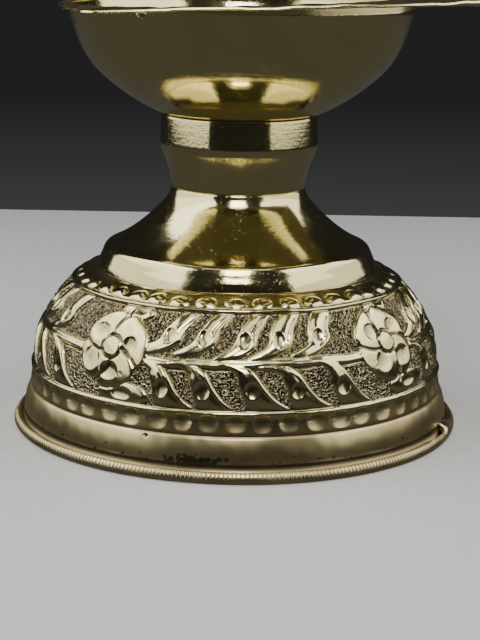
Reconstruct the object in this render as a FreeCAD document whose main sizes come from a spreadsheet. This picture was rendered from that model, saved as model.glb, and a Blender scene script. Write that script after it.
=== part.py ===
import FreeCAD, Part
import math
import os

import Sketcher

# A pedestal diya in sheet brass. Bottom to top: a base plate whose edge is crimped over
# the flange of an embossed drum, a spun bell, a turned collar, and a bowl under a
# leaf-shaped rim that carries the wick. A stud and two nuts clamp the drum to the bell,
# and the bowl unscrews from the end of that stud.
# Millimetres, +Z up, the foot centred on the origin, the leaf's tip towards +X.

SIZES = {
    # base plate
    "foot_radius": 45.0,
    "foot_height": 2.2,
    "plate_sheet": 0.6,
    "crimp_width": 1.5,
    "crimp_gap": 0.15,
    # drum
    "drum_sheet": 0.8,
    "drum_flange_radius": 44.2,
    "drum_seam_radius": 43.1,
    "drum_seam_height": 2.9,
    "drum_seam_corner": 0.2,
    "drum_band_round": 9.8,
    "drum_groove_radius": 41.9,
    "drum_groove_height": 8.2,
    "drum_dome_radius": 24.3,
    "drum_waist_radius": 41.5,
    "drum_waist_height": 11.3,
    "drum_wire_radius": 32.8,
    "drum_wire_height": 29.9,
    "drum_top_radius": 28.6,
    "drum_top_height": 32.0,
    # bell
    "bell_sheet": 0.9,
    "bell_radius": 28.2,
    "bell_band_height": 2.0,
    "bell_edge_radius": 25.6,
    "bell_edge_height": 36.8,
    "bell_edge_round": 3.0,
    "bell_flare_round": 28.0,
    "bell_waist_radius": 15.6,
    "bell_waist_height": 44.2,
    "bell_neck_round": 6.0,
    "bell_neck_radius": 13.35,
    "bell_top_height": 48.0,
    # collar
    "collar_wall": 1.0,
    "collar_foot_radius": 13.5,
    "collar_foot_bevel": 0.15,
    "collar_foot_height": 0.6,
    "collar_flare_round": 29.0,
    "collar_radius": 15.8,
    "collar_band_height": 56.6,
    "collar_top_height": 62.2,
    "collar_lip": 0.5,
    # bowl
    "bowl_wall": 0.8,
    "bowl_radius": 34.2,
    "bowl_bottom_height": 59.6,
    "bowl_bottom_round": 40.4,
    "bowl_turn_radius": 30.7,
    "bowl_turn_height": 73.8,
    "bowl_side_round": 14.7,
    "bowl_side_height": 83.4,
    # leaf rim
    "rim_sheet": 0.6,
    "rim_height": 84.4,
    "rim_tilt": 2.0,
    "leaf_rear_round": 92.0,
    "leaf_shoulder_x": 30.8,
    "leaf_shoulder_y": 27.5,
    "leaf_shoulder_round": 200.0,
    "leaf_corner_x": 28.0,
    "leaf_corner_y": 36.6,
    "leaf_corner_round": 3.6,
    "leaf_front_x": 24.6,
    "leaf_front_y": 39.3,
    "leaf_front_round": 240.0,
    "leaf_side_x": 22.0,
    "leaf_side_y": 37.0,
    "leaf_side_round": 62.0,
    "leaf_taper_x": 44.0,
    "leaf_taper_y": 27.0,
    "leaf_taper_round": 90.0,
    "leaf_tip_x": 61.0,
    "leaf_tip_y": 4.2,
    "leaf_tip_round": 4.6,
    "channel_radius": 1.8,
    "channel_start": 20.0,
    # stud, nuts and washers
    "stud_radius": 3.0,
    "stud_bottom": 24.0,
    "stud_top": 59.45,
    "stud_chamfer": 0.6,
    "running_gap": 0.05,
    "thread_gap": 0.02,
    "seat_bore_gap": 0.1,
    "bolt_hole_gap": 0.2,
    "nut_flats": 10.0,
    "nut_height": 5.0,
    "washer_radius": 6.0,
    "washer_thickness": 1.2,
    "seat_radius": 5.5,
    "seat_thickness": 0.5,
    "seat_gap": 0.02,
    "socket_radius": 6.5,
}

# Shapes that only cut others reach past them by this much, or span this much in all.
TOOL_MARGIN = 10.0
TOOL_SPAN = 160.0

# How far the outside of a sheet leans up from the horizontal at some corners, in degrees.
DRUM_WIRE_LEAN = 55.0
BELL_WAIST_LEAN = 45.0
BELL_EDGE_LEAN = 63.0
BOWL_TURN_LEAN = -40.5


class Size:
    """A length that carries its number together with the spreadsheet expression behind it."""

    def __init__(self, number, text):
        self.number = number
        self.text = text

    def __add__(self, other):
        other = as_size(other)
        return Size(self.number + other.number, f"({self.text} + {other.text})")

    def __sub__(self, other):
        other = as_size(other)
        return Size(self.number - other.number, f"({self.text} - {other.text})")

    def __mul__(self, factor):
        return Size(self.number * factor, f"({self.text} * {factor})")

    def __neg__(self):
        return Size(-self.number, f"(-{self.text})")


def as_size(value):
    return value if isinstance(value, Size) else Size(value, str(value))


def size(alias):
    return Size(SIZES[alias], "Sizes." + alias)


def ball_rise(across, radius):
    """How far a ball of this radius rises above its lowest point at a distance across."""
    number = radius.number - math.sqrt(radius.number ** 2 - across.number ** 2)
    return Size(number, f"({radius.text} - sqrt({radius.text}^2 - {across.text}^2))")


def make_sheet(doc):
    sheet = doc.addObject("Spreadsheet::Sheet", "Sizes")
    for row, (alias, value) in enumerate(SIZES.items(), start=1):
        sheet.set(f"A{row}", alias)
        sheet.set(f"B{row}", str(value))
        sheet.setAlias(f"B{row}", alias)
    doc.recompute()


def bind(target, **sizes):
    """Set properties from sizes and tie each one to its spreadsheet expression."""
    for prop, value in sizes.items():
        value = as_size(value)
        setattr(target, prop, value.number)
        target.setExpression(prop, value.text)


def bind_height(target, height):
    height = as_size(height)
    target.Placement.Base.z = height.number
    target.setExpression("Placement.Base.z", height.text)


def origin_plane(body, role):
    return next(plane for plane in body.Origin.OriginFeatures if plane.Role == role)


def arc_centre(start, end, radius):
    """Centre of the shorter arc from start to end, on the left where the radius is positive."""
    chord = end.sub(start)
    reach = math.sqrt(radius ** 2 - (chord.Length / 2) ** 2)
    left = FreeCAD.Vector(-chord.y, chord.x, 0).normalize()
    return start + chord * 0.5 + left * math.copysign(reach, radius)


def add_edge(sketch, start, end, radius):
    """Add one line or arc and return which of its ends are the start and the end."""
    if radius is None:
        sketch.addGeometry(Part.LineSegment(start, end), False)
        return 1, 2
    centre = arc_centre(start, end, radius)
    first, last = (start, end) if radius > 0 else (end, start)
    first_angle = math.atan2(first.y - centre.y, first.x - centre.x)
    last_angle = math.atan2(last.y - centre.y, last.x - centre.x)
    circle = Part.Circle(centre, FreeCAD.Vector(0, 0, 1), abs(radius))
    sketch.addGeometry(Part.ArcOfCircle(circle, first_angle, last_angle), False)
    return (1, 2) if radius > 0 else (2, 1)


def draw_outline(sketch, corners):
    """Draw a closed outline from (across, up) corners, each tied to the spreadsheet.

    A corner may add the radius of the arc that leaves it: positive where the arc turns
    left on its way to the next corner, negative where it turns right.
    """
    corners = [tuple(as_size(value) for value in corner) for corner in corners]
    points = [FreeCAD.Vector(corner[0].number, corner[1].number, 0) for corner in corners]
    ends = []
    for index, corner in enumerate(corners):
        radius = corner[2].number if len(corner) > 2 else None
        ends.append(add_edge(sketch, points[index], points[(index + 1) % len(points)], radius))
    for index, corner in enumerate(corners):
        following = (index + 1) % len(corners)
        sketch.addConstraint(
            Sketcher.Constraint("Coincident", index, ends[index][1], following, ends[following][0]))
        for kind, value, axis in (("DistanceX", corner[0], -2), ("DistanceY", corner[1], -1)):
            if value.number == 0:
                sketch.addConstraint(Sketcher.Constraint("PointOnObject", index, ends[index][0], axis))
                continue
            number = sketch.addConstraint(
                Sketcher.Constraint(kind, -1, 1, index, ends[index][0], value.number))
            sketch.setExpression(f"Constraints[{number}]", value.text)
        if len(corner) > 2:
            turn = corner[2] if corner[2].number > 0 else -corner[2]
            number = sketch.addConstraint(Sketcher.Constraint("Radius", index, turn.number))
            sketch.setExpression(f"Constraints[{number}]", turn.text)


def inner_corner(across, up, sheet, lean):
    """The corner on the inside of a sheet that faces a corner on its outside."""
    angle = math.radians(lean)
    return across - sheet * round(math.cos(angle), 3), up - sheet * round(math.sin(angle), 3)


def turned_body(doc, label, corners):
    """A body turned about Z from its outline of (radius, height) corners."""
    body = doc.addObject("PartDesign::Body", label)
    body.Label = label
    sketch = body.newObject("Sketcher::SketchObject", label + "_outline")
    sketch.AttachmentSupport = (origin_plane(body, "XZ_Plane"), [""])
    sketch.MapMode = "FlatFace"
    draw_outline(sketch, corners)
    turned = body.newObject("PartDesign::Revolution", label + "_turned")
    turned.Profile = sketch
    turned.ReferenceAxis = (sketch, ["V_Axis"])
    turned.Angle = 360
    sketch.Visibility = False
    doc.recompute()
    return body


def boolean(doc, kind, label, base, tool):
    """A Part::Cut or Part::Common of two objects."""
    result = doc.addObject(kind, label)
    result.Label = label
    result.Base = base
    result.Tool = tool
    return result


def cylinder(doc, label, radius, height):
    shape = doc.addObject("Part::Cylinder", label)
    bind(shape, Radius=radius, Height=height)
    return shape


def centred_box(doc, label, length, width, height):
    box = doc.addObject("Part::Box", label)
    bind(box, Length=length, Width=width, Height=height)
    box.Placement.Base = FreeCAD.Vector(-length / 2, -width / 2, 0)
    return box


def make_base_plate(doc):
    """Flat disc whose rolled edge closes over the drum's flange."""
    roll = size("foot_height") * 0.5
    gap = size("drum_flange_radius") + size("crimp_gap")
    lip_inside = size("foot_radius") - size("crimp_width")
    flange_top = size("plate_sheet") + size("drum_sheet")
    turned_body(doc, "base_plate", [
        (0, 0),
        (size("foot_radius") - roll, 0, roll),
        (size("foot_radius"), roll, roll),
        (size("foot_radius") - roll, size("foot_height")),
        (lip_inside, size("foot_height")),
        (lip_inside, flange_top),
        (gap, flange_top),
        (gap, size("plate_sheet")),
        (0, size("plate_sheet")),
    ])


def make_drum(doc):
    """Domed shell with a flange at its foot and a flat shelf for the bell on top."""
    sheet = size("drum_sheet")
    flange_bottom = size("plate_sheet")
    flange_top = flange_bottom + sheet
    seam = size("drum_seam_radius")
    band_round = size("drum_band_round")
    groove = size("drum_groove_radius")
    waist = size("drum_waist_radius")
    dome = size("drum_dome_radius")
    wire = size("drum_wire_radius")
    top = size("drum_top_height")
    hole = size("stud_radius") + size("bolt_hole_gap")
    turned_body(doc, "drum", [
        (size("drum_flange_radius"), flange_bottom),
        (size("drum_flange_radius"), flange_top),
        (seam + size("drum_seam_corner"), flange_top),
        (seam, size("drum_seam_height"), band_round),
        (groove, size("drum_groove_height")),
        (waist, size("drum_waist_height"), dome),
        (wire, size("drum_wire_height")),
        (size("drum_top_radius"), top),
        (hole, top),
        (hole, top - sheet),
        (size("drum_top_radius"), top - sheet),
        (*inner_corner(wire, size("drum_wire_height"), sheet, DRUM_WIRE_LEAN), -(dome - sheet)),
        (waist - sheet, size("drum_waist_height")),
        (groove - sheet, size("drum_groove_height"), -band_round),
        (seam - sheet, size("drum_seam_height")),
        (seam - sheet, flange_bottom),
    ])


def make_bell(doc):
    """Spun shell that flares down from its flat top to a rounded edge and a short band."""
    sheet = size("bell_sheet")
    bottom = size("drum_top_height")
    band_top = bottom + size("bell_band_height")
    top = size("bell_top_height")
    neck = size("bell_neck_radius")
    edge = size("bell_edge_radius")
    waist = size("bell_waist_radius")
    hole = size("stud_radius") + size("bolt_hole_gap")
    turned_body(doc, "bell", [
        (size("bell_radius") - sheet, bottom),
        (size("bell_radius"), bottom),
        (size("bell_radius"), band_top, size("bell_edge_round")),
        (edge, size("bell_edge_height"), -size("bell_flare_round")),
        (waist, size("bell_waist_height"), -size("bell_neck_round")),
        (neck, top),
        (hole, top),
        (hole, top - sheet),
        (neck - sheet, top - sheet, size("bell_neck_round") + sheet),
        (*inner_corner(waist, size("bell_waist_height"), sheet, BELL_WAIST_LEAN),
         size("bell_flare_round") + sheet),
        (*inner_corner(edge, size("bell_edge_height"), sheet, BELL_EDGE_LEAN),
         -(size("bell_edge_round") - sheet)),
        (size("bell_radius") - sheet, band_top),
    ])


def make_collar(doc):
    """Turned ring: a plain upper band that narrows in a hollow curve to its foot."""
    wall = size("collar_wall")
    foot = size("collar_foot_radius")
    outside = size("collar_radius")
    bottom = size("bell_top_height")
    band = size("collar_band_height")
    top = size("collar_top_height")
    lip = size("collar_lip")
    turned_body(doc, "collar", [
        (foot - wall, bottom),
        (foot - size("collar_foot_bevel"), bottom),
        (foot, bottom + size("collar_foot_height"), -size("collar_flare_round")),
        (outside, band),
        (outside, top - lip, lip),
        (outside - lip, top),
        (outside - wall, top),
        (outside - wall, band, size("collar_flare_round") + wall),
    ])


def rim_placement():
    """Frame of the leaf rim: its underside, rising slightly towards the tip."""
    tilt = FreeCAD.Rotation(FreeCAD.Vector(0, -1, 0), SIZES["rim_tilt"])
    return FreeCAD.Placement(FreeCAD.Vector(0, 0, SIZES["rim_height"]), tilt)


def channel_cylinder(doc, label, radius, start, end):
    """A cylinder along the leaf's centre line with its axis in the sheet's top face."""
    shape = cylinder(doc, label, radius, end - start)
    along = FreeCAD.Rotation(FreeCAD.Vector(0, 1, 0), 90)
    shape.Placement = FreeCAD.Placement(FreeCAD.Vector(start.number, 0, 0), along)
    shape.setExpression("Placement.Base.x", start.text)
    bind_height(shape, size("rim_sheet"))
    return shape


def make_bowl(doc):
    """Round bowl, cut off along the underside of the rim and notched for the wick channel."""
    wall = size("bowl_wall")
    bottom = size("bowl_bottom_height")
    turn = size("bowl_turn_radius")
    turn_height = size("bowl_turn_height")
    side_height = size("bowl_side_height")
    cut_height = size("rim_height") + size("channel_radius") * 2
    spun = turned_body(doc, "bowl_spun", [
        (0, bottom, size("bowl_bottom_round")),
        (turn, turn_height, size("bowl_side_round")),
        (size("bowl_radius"), side_height),
        (size("bowl_radius"), cut_height),
        (size("bowl_radius") - wall, cut_height),
        (size("bowl_radius") - wall, side_height, -(size("bowl_side_round") - wall)),
        (*inner_corner(turn, turn_height, wall, BOWL_TURN_LEAN), -(size("bowl_bottom_round") - wall)),
        (0, bottom + wall),
    ])
    above = centred_box(doc, "bowl_trim_box", TOOL_SPAN, TOOL_SPAN, TOOL_MARGIN)
    notch = channel_cylinder(
        doc, "bowl_notch", size("channel_radius") + size("rim_sheet"),
        size("channel_start"), size("bowl_radius") + TOOL_MARGIN)
    trim = doc.addObject("Part::MultiFuse", "bowl_trim")
    trim.Shapes = [above, notch]
    trim.Placement = rim_placement()
    boolean(doc, "Part::Cut", "bowl", spun, trim)


def leaf_corners():
    """Leaf outline seen from above, anticlockwise, symmetric about its centre line."""
    near_side = [
        (-size("leaf_shoulder_x"), -size("leaf_shoulder_y"), size("leaf_shoulder_round")),
        (-size("leaf_corner_x"), -size("leaf_corner_y"), size("leaf_corner_round")),
        (-size("leaf_front_x"), -size("leaf_front_y"), size("leaf_front_round")),
        (size("leaf_side_x"), -size("leaf_side_y"), size("leaf_side_round")),
        (size("leaf_taper_x"), -size("leaf_taper_y"), size("leaf_taper_round")),
        (size("leaf_tip_x"), -size("leaf_tip_y"), size("leaf_tip_round")),
    ]
    places = [(corner[0], corner[1]) for corner in near_side]
    turns = [corner[2] for corner in near_side]
    far_places = [(across, -up) for across, up in reversed(places)]
    far_turns = turns[-2::-1] + [size("leaf_rear_round")]
    return [(*place, turn) for place, turn in zip(places + far_places, turns + far_turns)]


def make_leaf_rim(doc):
    """Leaf-shaped sheet round the bowl's mouth, with a channel pressed in it for the wick."""
    sheet = size("rim_sheet")
    depth = size("channel_radius") * 2
    reach = size("leaf_tip_x") + TOOL_MARGIN
    sketch = doc.addObject("Sketcher::SketchObject", "leaf_outline")
    draw_outline(sketch, leaf_corners())
    prism = doc.addObject("Part::Extrusion", "leaf_prism")
    prism.Base = sketch
    prism.DirMode = "Custom"
    prism.Dir = FreeCAD.Vector(0, 0, 1)
    prism.Solid = True
    bind(prism, LengthFwd=sheet, LengthRev=depth)
    slab = centred_box(doc, "leaf_slab", TOOL_SPAN, TOOL_SPAN, sheet)
    trough = channel_cylinder(
        doc, "leaf_trough", size("channel_radius") + sheet, size("channel_start"), reach)
    pressed = doc.addObject("Part::MultiFuse", "leaf_pressed")
    pressed.Shapes = [slab, trough]
    channel = channel_cylinder(doc, "leaf_channel", size("channel_radius"), as_size(0), reach)
    mouth = cylinder(doc, "leaf_mouth", size("bowl_radius") - size("bowl_wall"), depth * 2)
    bind_height(mouth, -depth)
    hollow = doc.addObject("Part::MultiFuse", "leaf_hollow")
    hollow.Shapes = [channel, mouth]
    shell = boolean(doc, "Part::Cut", "leaf_shell", pressed, hollow)
    rim = boolean(doc, "Part::Common", "leaf_rim", prism, shell)
    rim.Placement = rim_placement()


def seat_heights():
    """Heights inside the collar: top of the clamp nut, seat washer, foot of the socket."""
    nut_top = size("bell_top_height") + size("washer_thickness") + size("nut_height")
    seat_bottom = nut_top + size("seat_gap")
    socket_bottom = seat_bottom + size("seat_thickness") + size("seat_gap")
    return seat_bottom, socket_bottom


def make_bowl_socket(doc):
    """Threaded socket under the bowl, shown at the thread's major diameter."""
    bore = size("stud_radius") + size("running_gap")
    outside = size("socket_radius")
    bottom = seat_heights()[1]
    bowl_bottom = size("bowl_bottom_height")
    turned_body(doc, "bowl_socket", [
        (bore, bottom),
        (outside, bottom),
        (outside, bowl_bottom + ball_rise(outside, size("bowl_bottom_round")),
         -size("bowl_bottom_round")),
        (bore, bowl_bottom + ball_rise(bore, size("bowl_bottom_round"))),
    ])


def make_tie_stud(doc):
    """Threaded stud that clamps the stand together and holds the bowl, ends chamfered."""
    radius = size("stud_radius")
    chamfer = size("stud_chamfer")
    turned_body(doc, "tie_stud", [
        (0, size("stud_bottom")),
        (radius - chamfer, size("stud_bottom")),
        (radius, size("stud_bottom") + chamfer),
        (radius, size("stud_top") - chamfer),
        (radius - chamfer, size("stud_top")),
        (0, size("stud_top")),
    ])


def make_nut(doc, label, bottom):
    prism = doc.addObject("Part::Prism", label + "_prism")
    prism.Polygon = 6
    bind(prism, Circumradius=size("nut_flats") * (1 / math.sqrt(3)), Height=size("nut_height"))
    bind_height(prism, bottom)
    bore = cylinder(doc, label + "_bore", size("stud_radius") + size("thread_gap"), size("nut_height"))
    bind_height(bore, bottom)
    return boolean(doc, "Part::Cut", label, prism, bore)


def make_washer(doc, label, bottom):
    disc = cylinder(doc, label + "_disc", size("washer_radius"), size("washer_thickness"))
    bind_height(disc, bottom)
    bore = cylinder(
        doc, label + "_bore", size("stud_radius") + size("bolt_hole_gap"), size("washer_thickness"))
    bind_height(bore, bottom)
    return boolean(doc, "Part::Cut", label, disc, bore)


def make_group(doc, label, members):
    """One sub-part that holds separate identical solids."""
    group = doc.addObject("Part::Compound", label)
    group.Label = label
    group.Links = members


def make_clamp(doc):
    """Two washers and two nuts: one pair under the drum's shelf, one on the bell's top."""
    under_shelf = size("drum_top_height") - size("drum_sheet") - size("washer_thickness")
    on_bell = size("bell_top_height")
    make_group(doc, "clamp_washers", [
        make_washer(doc, "lower_washer", under_shelf),
        make_washer(doc, "upper_washer", on_bell),
    ])
    make_group(doc, "clamp_nuts", [
        make_nut(doc, "lower_nut", under_shelf - size("nut_height")),
        make_nut(doc, "upper_nut", on_bell + size("washer_thickness")),
    ])


def make_seat_washer(doc):
    """Thin washer between the clamp nut and the socket, on which the bowl tightens."""
    bottom = seat_heights()[0]
    bore = size("stud_radius") + size("seat_bore_gap")
    turned_body(doc, "seat_washer", [
        (bore, bottom),
        (size("seat_radius"), bottom),
        (size("seat_radius"), bottom + size("seat_thickness")),
        (bore, bottom + size("seat_thickness")),
    ])


SUB_PARTS = (
    "base_plate", "drum", "bell", "collar", "bowl", "leaf_rim", "bowl_socket",
    "tie_stud", "clamp_washers", "clamp_nuts", "seat_washer",
)


def check_and_export(doc):
    for item in doc.Objects:
        if "Invalid" in item.State or "Error" in item.State:
            raise RuntimeError(f"{item.Label} did not recompute: {item.State}")
    shapes = {label: doc.getObjectsByLabel(label)[0].Shape for label in SUB_PARTS}
    for label, shape in shapes.items():
        if shape.isNull() or not shape.isValid() or not shape.Solids:
            raise RuntimeError(f"{label} has no valid solid")
    os.makedirs("parts", exist_ok=True)
    for label, shape in shapes.items():
        shape.exportStep(f"parts/{label}.step")
        print(f"{label}: {len(shape.Solids)} solid(s), {shape.Volume:.0f} mm3")


def main():
    doc = FreeCAD.newDocument("diya")
    make_sheet(doc)
    make_base_plate(doc)
    make_drum(doc)
    make_bell(doc)
    make_collar(doc)
    make_bowl(doc)
    make_leaf_rim(doc)
    make_bowl_socket(doc)
    make_tie_stud(doc)
    make_clamp(doc)
    make_seat_washer(doc)
    doc.recompute()
    check_and_export(doc)


main()
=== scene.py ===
import math

import bpy
import numpy as np
from mathutils import Euler, Matrix, Vector


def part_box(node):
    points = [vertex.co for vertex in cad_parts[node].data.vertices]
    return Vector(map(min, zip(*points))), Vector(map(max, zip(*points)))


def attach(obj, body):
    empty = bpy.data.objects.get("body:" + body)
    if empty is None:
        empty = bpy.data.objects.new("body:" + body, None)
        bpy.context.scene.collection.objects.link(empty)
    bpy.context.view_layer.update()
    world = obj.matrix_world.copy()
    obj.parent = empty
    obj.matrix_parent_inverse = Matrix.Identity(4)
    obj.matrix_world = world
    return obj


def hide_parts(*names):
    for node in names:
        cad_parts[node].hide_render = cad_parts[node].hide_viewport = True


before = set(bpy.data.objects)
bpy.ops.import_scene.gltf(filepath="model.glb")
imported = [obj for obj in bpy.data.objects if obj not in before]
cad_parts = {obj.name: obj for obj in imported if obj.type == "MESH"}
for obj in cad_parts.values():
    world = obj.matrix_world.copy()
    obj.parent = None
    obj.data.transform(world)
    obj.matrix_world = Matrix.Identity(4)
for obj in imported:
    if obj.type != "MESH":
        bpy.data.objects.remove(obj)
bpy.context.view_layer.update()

# Shapes are worked out in millimetres in the frame of the CAD model: the foot is centred on
# the origin, +Z is up and the leaf's tip points to +X. Angles round the lamp are measured
# from -Y, the side that the camera looks at, towards +X. Relief is measured outwards from
# the smooth shell, over a plan of (angle round the lamp, distance up the shell).
MM = 0.001
RANDOM = np.random.default_rng(7)


def node_box(node):
    """Lowest and highest corner of a CAD node, in millimetres."""
    low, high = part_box(node)
    return low / MM, high / MM


PLATE_HIGH = node_box("base_plate")[1]
DRUM_LOW, DRUM_HIGH = node_box("drum")
BELL_LOW, BELL_HIGH = node_box("bell")
COLLAR_LOW, COLLAR_HIGH = node_box("collar")
BOWL_LOW, BOWL_HIGH = node_box("bowl")

FOOT_RADIUS = PLATE_HIGH.x
STUD_HOLE = 3.2

# Smooth drum: seam, groove, waist, wire and shoulder, as (radius, height).
DRUM_SEAM = (43.1, 2.9)
DRUM_GROOVE = (41.9, 8.2)
DRUM_WAIST = (41.5, 11.3)
DRUM_WIRE = (32.8, 29.9)
DRUM_SHOULDER = (28.6, DRUM_HIGH.z)
DRUM_BAND_ROUND = 9.8
DRUM_DOME_ROUND = 24.3
DRUM_INSIDE = ((31.0, 28.8), (35.5, 24.5), (38.6, 18.5), (39.6, 11.3), (40.6, 5.0))

# Plan of the ornament. Levels are distances up the drum from its seam.
PLAN_RADIUS = 40.0
GROUND_DEPTH = 0.85
GROOVE_LEVEL = 5.62
SCALLOP_LEVEL = 7.85
SCALLOP_COUNT = 52
BORDER_LEVEL = 9.65
WIRE_LEVEL = 29.5
PAD_LEVEL = 31.7
PAD_COUNT = 40
STEM_LEVEL = 18.7
ROSETTE_ANGLES = (-36.3, 47.9, 139.5, 231.5)


# ------------------------------ curves and noise

def arc(start, end, radius, steps):
    """Points along the shorter arc from start to end, bending left where radius is positive."""
    start, end = np.array(start, float), np.array(end, float)
    chord = end - start
    span = np.hypot(*chord)
    left = np.array([-chord[1], chord[0]]) / span
    reach = math.sqrt(radius ** 2 - (span / 2) ** 2)
    centre = (start + end) / 2 + left * math.copysign(reach, radius)
    first = math.atan2(*(start - centre)[::-1])
    turn = 2 * math.asin(span / 2 / abs(radius)) * math.copysign(1, radius)
    angles = first + turn * np.linspace(0, 1, steps)
    return centre + abs(radius) * np.stack([np.cos(angles), np.sin(angles)], 1)


def flowing(points, leans, steps=24):
    """Smooth path through points that passes each one in a given direction, in degrees."""
    points = np.array(points, float)
    ways = np.stack([np.cos(np.radians(leans)), np.sin(np.radians(leans))], 1)
    t = np.linspace(0, 1, steps)[:, None]
    runs = []
    for start, end, leave, arrive in zip(points[:-1], points[1:], ways[:-1], ways[1:]):
        span = np.hypot(*(end - start))
        runs.append((2 * t ** 3 - 3 * t ** 2 + 1) * start + (t ** 3 - 2 * t ** 2 + t) * span * leave
                    + (3 * t ** 2 - 2 * t ** 3) * end + (t ** 3 - t ** 2) * span * arrive)
    return join(*runs)


def even_steps(path, spacing):
    """The same path with points a given distance apart."""
    path = np.array(path, float)
    along = np.r_[0, np.cumsum(np.hypot(*np.diff(path, axis=0).T))]
    count = max(2, round(along[-1] / spacing) + 1)
    places = np.linspace(0, along[-1], count)
    return np.stack([np.interp(places, along, path[:, i]) for i in (0, 1)], 1)


def join(*paths):
    """One path from several, without the repeated points where they meet."""
    joined = [np.array(paths[0], float)]
    for path in paths[1:]:
        path = np.array(path, float)
        same = np.allclose(joined[-1][-1], path[0], atol=1e-6)
        joined.append(path[1:] if same else path)
    return np.concatenate(joined)


def smooth(value):
    """Soft step from 0 to 1."""
    value = np.clip(value, 0, 1)
    return value * value * (3 - 2 * value)


def hump(value, middle, width):
    """1 in the middle, dying away on both sides."""
    return np.exp(-((value - middle) / width) ** 2)


def dome(u, w, fullness):
    """1 in the middle of the unit circle and 0 from its edge outwards."""
    return np.clip(1 - u ** 2 - w ** 2, 0, None) ** fullness


def closed_spline(points, steps=7):
    """Smooth closed curve through the points."""
    points = np.array(points, float)
    before, after, beyond = (np.roll(points, shift, 0) for shift in (1, -1, -2))
    curve = []
    for t in np.linspace(0, 1, steps, endpoint=False):
        curve.append(0.5 * (2 * points + (after - before) * t
                            + (2 * before - 5 * points + 4 * after - beyond) * t ** 2
                            + (3 * points - before - 3 * after + beyond) * t ** 3))
    return np.stack(curve, 1).reshape(-1, 2)


RIPPLE_WAVES = 14
RIPPLE_SPREAD = 0.6
PHASES = (0, 6.3)


def ripple(angle, along, size, wave, seed):
    """Gentle hand-made unevenness that closes on itself round the lamp."""
    source = np.random.default_rng(seed)
    turns = 2 * math.pi * PLAN_RADIUS / wave
    total = 0
    for _ in range(RIPPLE_WAVES):
        round_waves = round(source.normal(0, turns * RIPPLE_SPREAD))
        up_waves = source.normal(0, RIPPLE_SPREAD) * 2 * math.pi / wave
        total = total + np.sin(round_waves * angle + up_waves * along + source.uniform(*PHASES))
    return size * total / math.sqrt(RIPPLE_WAVES)


# ------------------------------ meshes

def grid_mesh(name, points, wrap_across, attributes=None, poles=False):
    """Closed mesh from a grid of points in millimetres.

    The first axis goes round and closes on itself. The second closes too where wrap_across
    is set; with poles set its first and last rows each shrink to one point instead.
    """
    around, across = points.shape[:2]
    if poles:
        first_pole, last_pole = points[:, 0].mean(0), points[:, -1].mean(0)
        points = points[:, 1:-1]
        across -= 2
    co = points.reshape(-1, 3)
    i = np.arange(around)[:, None]
    j = np.arange(across if wrap_across else across - 1)[None, :]
    i2, j2 = (i + 1) % around, (j + 1) % across
    quads = np.stack(np.broadcast_arrays(
        i * across + j, i2 * across + j, i2 * across + j2, i * across + j2), -1).reshape(-1, 4)
    faces = [quads.reshape(-1)]
    sizes = [np.full(len(quads), 4)]
    if poles:
        co = np.concatenate([co, [first_pole, last_pole]])
        ring, following = np.arange(around), (np.arange(around) + 1) % around
        low = np.stack([np.full(around, len(co) - 2), following * across, ring * across], 1)
        high = np.stack([np.full(around, len(co) - 1), ring * across + across - 1,
                         following * across + across - 1], 1)
        faces += [low.reshape(-1), high.reshape(-1)]
        sizes += [np.full(around, 3), np.full(around, 3)]
    corners, sizes = np.concatenate(faces), np.concatenate(sizes)
    mesh = bpy.data.meshes.new(name)
    mesh.vertices.add(len(co))
    mesh.vertices.foreach_set("co", (co * MM).astype(np.float32).ravel())
    mesh.loops.add(len(corners))
    mesh.loops.foreach_set("vertex_index", corners.astype(np.int32))
    mesh.polygons.add(len(sizes))
    mesh.polygons.foreach_set("loop_start", np.r_[0, np.cumsum(sizes)[:-1]].astype(np.int32))
    mesh.update(calc_edges=True)
    mesh.validate()
    mesh.shade_smooth()
    for key, values in (attributes or {}).items():
        values = values[:, 1:-1] if poles else values
        values = np.r_[values.ravel(), np.zeros(2 if poles else 0)]
        layer = mesh.attributes.new(key, "FLOAT", "POINT")
        layer.data.foreach_set("value", values.astype(np.float32))
    piece = bpy.data.objects.new(name, mesh)
    bpy.context.scene.collection.objects.link(piece)
    return piece


def path_normals(path, closed):
    """Unit normals of a (radius, height) path, pointing to its right."""
    if closed:
        tangent = np.roll(path, -1, 0) - np.roll(path, 1, 0)
    else:
        tangent = np.gradient(path, axis=0)
    normal = np.stack([tangent[:, 1], -tangent[:, 0]], 1)
    return normal / np.maximum(np.hypot(*normal.T), 1e-9)[:, None]


def turn_points(path, angles, offset, closed=True):
    """Grid of points: a path turned about Z, pushed out along its normals by offset."""
    normals = path_normals(path, closed)
    radius, height = (path[None, :, i] + offset * normals[None, :, i] for i in (0, 1))
    turn = angles[:, None]
    return np.stack([radius * np.sin(turn), -radius * np.cos(turn), height], -1)


def angles_round(count):
    """Angles spaced evenly round the lamp, in radians."""
    return np.linspace(-math.pi, math.pi, count, endpoint=False)


def dress(piece, body, slot, material, *nodes):
    """Give a piece its material, the body it rides on and the CAD nodes it replaces. Its slot is
    not used.
    """
    piece.data.materials.append(material)
    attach(piece, body)
    if nodes:
        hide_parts(*nodes)


def spun_shell(name, outside, inside, step, count, unevenness):
    """Shell turned from an outer and an inner path; unevenness is (size, wave, seed)."""
    outside = even_steps(outside, step)
    path = np.concatenate([outside, inside])
    angles = angles_round(count)
    angle, along = np.meshgrid(angles, np.arange(len(path)) * step, indexing="ij")
    offset = ripple(angle, along, *unevenness)
    offset[:, len(outside):] = 0
    return grid_mesh(name, turn_points(path, angles, offset), True)


# ------------------------------ embossing

def wrapped(degrees):
    """The same angle between -180 and 180 degrees."""
    return (degrees + 180) % 360 - 180


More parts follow.
